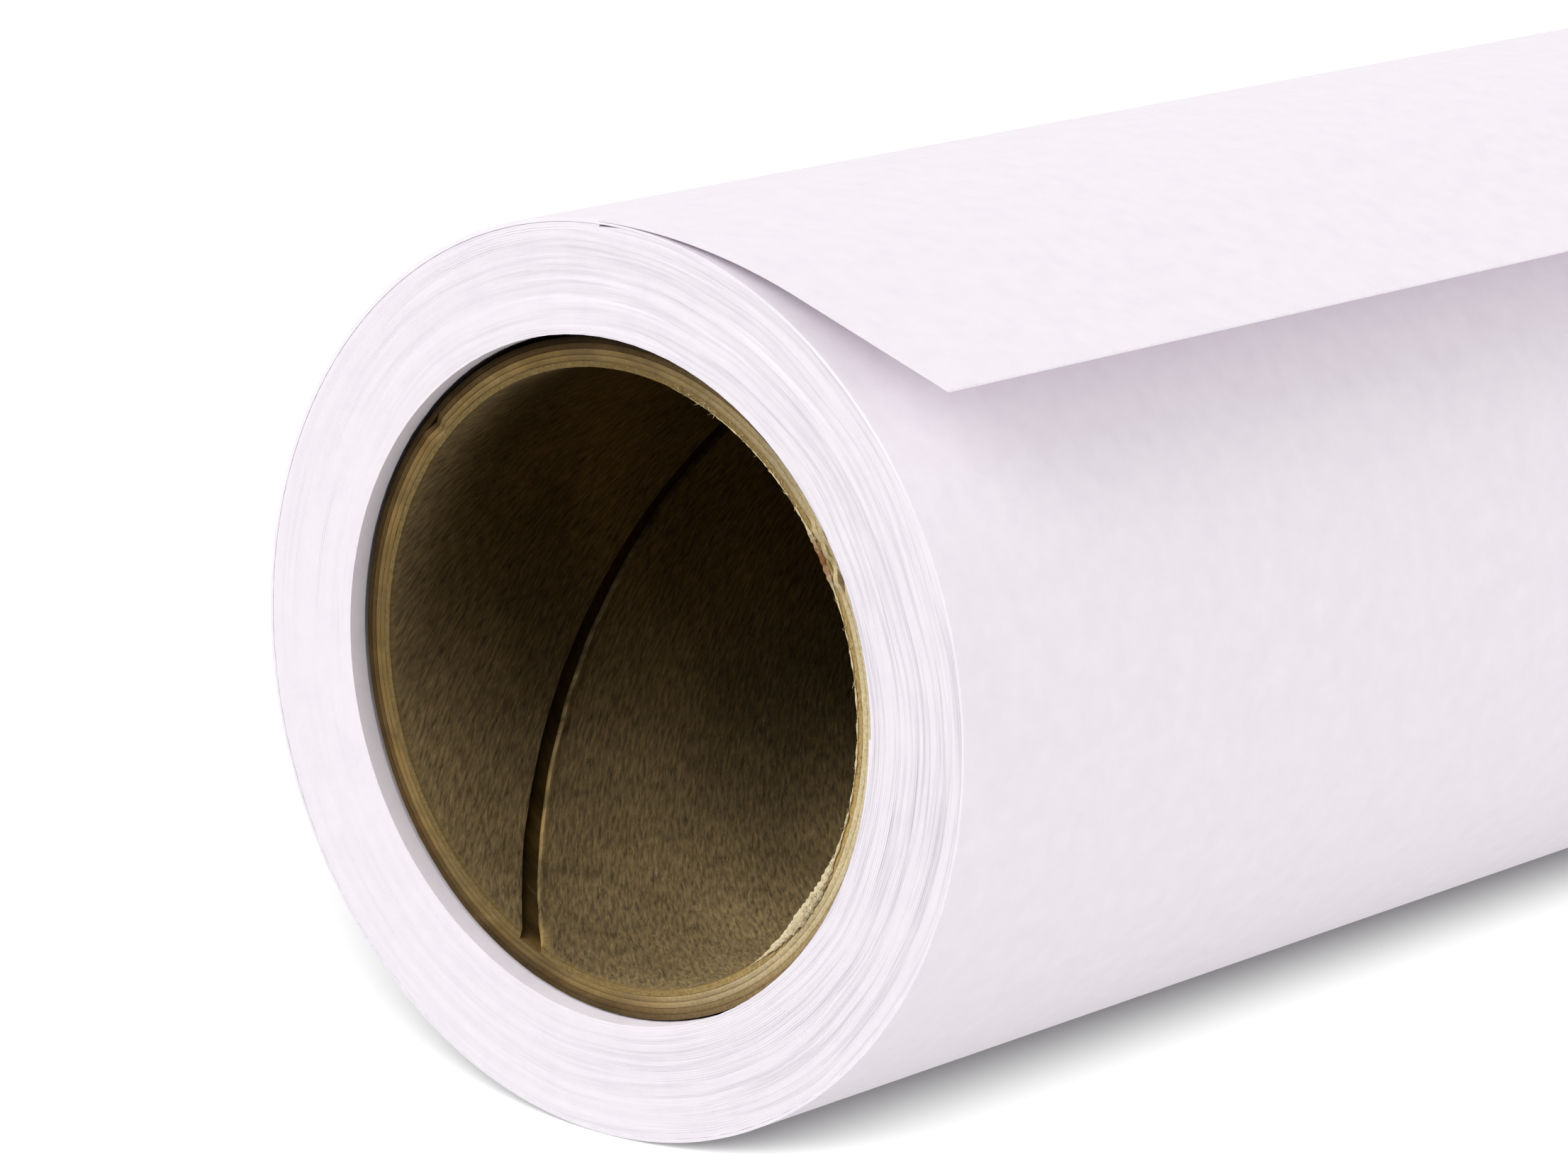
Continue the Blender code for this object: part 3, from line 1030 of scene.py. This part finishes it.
def free_length(name, start, end):
    """This length of the free sheet, from a thin box cut across into short steps."""
    shape = bmesh.new()
    bmesh.ops.create_cube(shape, size=1.0)
    lengthwise = [e for e in shape.edges if abs(e.verts[0].co.y - e.verts[1].co.y) > 0.5]
    bmesh.ops.subdivide_edges(
        shape, edges=lengthwise, cuts=math.ceil((end - start) / FREE_STEP) - 1, use_grid_fill=True
    )
    for vert in shape.verts:
        side, lengthways, out = vert.co + Vector((0.5, 0.5, 0))
        along = start + (end - start) * lengthways
        x = sheet_end(-1 if side < 0.5 else 1, 0)
        y, z = free_sheet_place(along, SHEET * out)
        vert.co = (x, y, z)
    return shaded_mesh(name, shape)


start = 0
for name, node, end, upper, lower, bend_start, bend_end in (
    ("free_sheet_bend_1", "free_sheet_1", 0.0135, "departing_sheet", "bending_sheet_1", 0.0035, 0.0125),
    ("free_sheet_bend_2", "free_sheet_2", 0.0245, "bending_sheet_1", "bending_sheet_2", 0.0145, 0.0235),
    ("free_sheet_bend_3", "free_sheet_3", 0.0335, "bending_sheet_2", "bending_sheet_3", 0.0265, 0.0335),
    ("free_sheet_edge", "leading_edge", FREE_LENGTH, "bending_sheet_3", "sheet_edge", 0.0340, 0.0395),
):
    length = new_piece(name, free_length(name, start, end), sheet_face, "backdrop_paper", node)
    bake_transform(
        length,
        upper,
        lower,
        start=(0, *free_sheet_place(bend_start)),
        end=(0, *free_sheet_place(bend_end)),
    )
    start = end

# ---------------------------------------------------------------------------------------------
# Table, light and camera
# A plain white table under a big soft light: mostly from the front left and above, with a long low
# light that fills the roll's side.

TABLE_HALF_SIZE = 6.0
ROOM_LIGHT = 0.01  # the little that comes from everywhere
CAMERA_OUT, CAMERA_ASIDE, CAMERA_ABOVE = 0.4207, 0.3864, 0.1382  # from the middle of the near end

table_shape = bmesh.new()
bmesh.ops.create_grid(table_shape, x_segments=1, y_segments=1, size=TABLE_HALF_SIZE)
table_mesh = bpy.data.meshes.new("table")
table_shape.to_mesh(table_mesh)
table_shape.free()
table = bpy.data.objects.new("table", table_mesh)
bpy.context.scene.collection.objects.link(table)
table.visible_diffuse = False
table.visible_glossy = False
table.visible_shadow = False

white = bpy.data.materials.new("white table")
white.use_nodes = True
white_face = white.node_tree.nodes["Principled BSDF"]
white_face.label = "Matt white laminate"
white_face.inputs["Base Color"].default_value = (0.25, 0.25, 0.25, 1)
white_face.inputs["Roughness"].default_value = 1.0
white_face.inputs["Specular IOR Level"].default_value = 0.0
table_mesh.materials.append(white)

table_only = bpy.data.collections.new("lit by the table light")
table_only.objects.link(table)
table_light_data = bpy.data.lights.new("table light", "SUN")
table_light_data.energy = 28.0
table_light_data.angle = math.radians(28)
table_light = bpy.data.objects.new("table light", table_light_data)
table_light.rotation_euler = Vector((0.9, 0.60, -0.47)).to_track_quat("-Z", "Y").to_euler()
bpy.context.scene.collection.objects.link(table_light)
table_light.light_linking.receiver_collection = table_only

studio = bpy.data.worlds.new("studio")
bpy.context.scene.world = studio
studio.use_nodes = True
nodes, links = studio.node_tree.nodes, studio.node_tree.links
nodes.clear()
direction = nodes.new("ShaderNodeTexCoord")
direction.label = "Direction of the light"
x_part = nodes.new("ShaderNodeSeparateXYZ")
x_part.label = "Along the roll"
x_square = nodes.new("ShaderNodeMath")
x_square.label = "How far from square to the roll"
x_square.operation = "MULTIPLY"
square_on = nodes.new("ShaderNodeMath")
square_on.label = "How square to the roll"
square_on.operation = "SUBTRACT"
square_on.inputs[0].default_value = 1.0
links.new(direction.outputs["Generated"], x_part.inputs["Vector"])
links.new(x_part.outputs["X"], x_square.inputs[0])
links.new(x_part.outputs["X"], x_square.inputs[1])
links.new(x_square.outputs["Value"], square_on.inputs[1])
total = None
for label, toward, power, narrow, strength in (
    ("Key light on the roll's end", (-0.84, 0.18, 0.54), 24.0, 0, 15.9),
    ("Key light above", (-0.70, -0.10, 0.70), 16.0, 0, 2.0),
    ("Soft light above and in front", (-0.45, -0.20, 0.87), 8.0, 0, 0.80),
    ("Low strip light along the side", (0, -0.707, -0.707), 2.0, 60, 6.9),
    ("Strip light along the side", (0, -1, 0), 2.0, 60, 6.1),
    ("Strip light behind", (0, 1, 0), 2.0, 6, 1.9),
    ("Light at the far end", (0.9, 0, 0.43), 3.0, 0, 0.75),
):
    facing = nodes.new("ShaderNodeVectorMath")
    facing.label = label
    facing.operation = "DOT_PRODUCT"
    facing.inputs[1].default_value = Vector(toward).normalized()
    front = nodes.new("ShaderNodeMath")
    front.label = "In front of it only"
    front.operation = "MAXIMUM"
    front.inputs[1].default_value = 0.0
    spread = nodes.new("ShaderNodeMath")
    spread.label = "How wide it is"
    spread.operation = "POWER"
    spread.inputs[1].default_value = power
    strip = nodes.new("ShaderNodeMath")
    strip.label = "How narrow a strip it is"
    strip.operation = "POWER"
    strip.inputs[1].default_value = narrow
    shaped = nodes.new("ShaderNodeMath")
    shaped.label = "Shape of the light"
    shaped.operation = "MULTIPLY"
    level = nodes.new("ShaderNodeMath")
    level.label = "How bright it is"
    level.operation = "MULTIPLY_ADD"
    level.inputs[1].default_value = strength
    level.inputs[2].default_value = ROOM_LIGHT
    links.new(direction.outputs["Generated"], facing.inputs[0])
    links.new(facing.outputs["Value"], front.inputs[0])
    links.new(front.outputs["Value"], spread.inputs[0])
    links.new(square_on.outputs["Value"], strip.inputs[0])
    links.new(spread.outputs["Value"], shaped.inputs[0])
    links.new(strip.outputs["Value"], shaped.inputs[1])
    links.new(shaped.outputs["Value"], level.inputs[0])
    if total:
        links.new(total, level.inputs[2])
    total = level.outputs["Value"]
soft_light = nodes.new("ShaderNodeBackground")
soft_light.label = "Soft studio light"
backdrop = nodes.new("ShaderNodeBackground")
backdrop.label = "White room behind"
backdrop.inputs["Strength"].default_value = 1.0
backdrop.inputs["Color"].default_value = (1, 1, 1, 1)
seen = nodes.new("ShaderNodeLightPath")
seen.label = "Seen directly"
room = nodes.new("ShaderNodeMixShader")
room.label = "Room"
sky = nodes.new("ShaderNodeOutputWorld")
sky.label = "Studio"
links.new(total, soft_light.inputs["Strength"])
links.new(seen.outputs["Is Camera Ray"], room.inputs["Fac"])
links.new(soft_light.outputs["Background"], room.inputs[1])
links.new(backdrop.outputs["Background"], room.inputs[2])
links.new(room.outputs["Shader"], sky.inputs["Surface"])
lay_out(nodes)

camera_data = bpy.data.cameras.new("camera")
camera_data.lens = 149.73
camera_data.sensor_width = 36
camera_data.sensor_fit = "HORIZONTAL"
camera_data.clip_start = 0.01
camera_data.clip_end = 50
camera = bpy.data.objects.new("camera", camera_data)
camera.location = (ROLL_NEAR - CAMERA_OUT, -CAMERA_ASIDE, AXIS_HEIGHT + CAMERA_ABOVE)
camera.rotation_euler = Vector((0.73696, 0.63883, -0.22087)).to_track_quat("-Z", "Y").to_euler()
bpy.context.scene.collection.objects.link(camera)
bpy.context.scene.camera = camera
bpy.context.scene.view_settings.view_transform = "Standard"
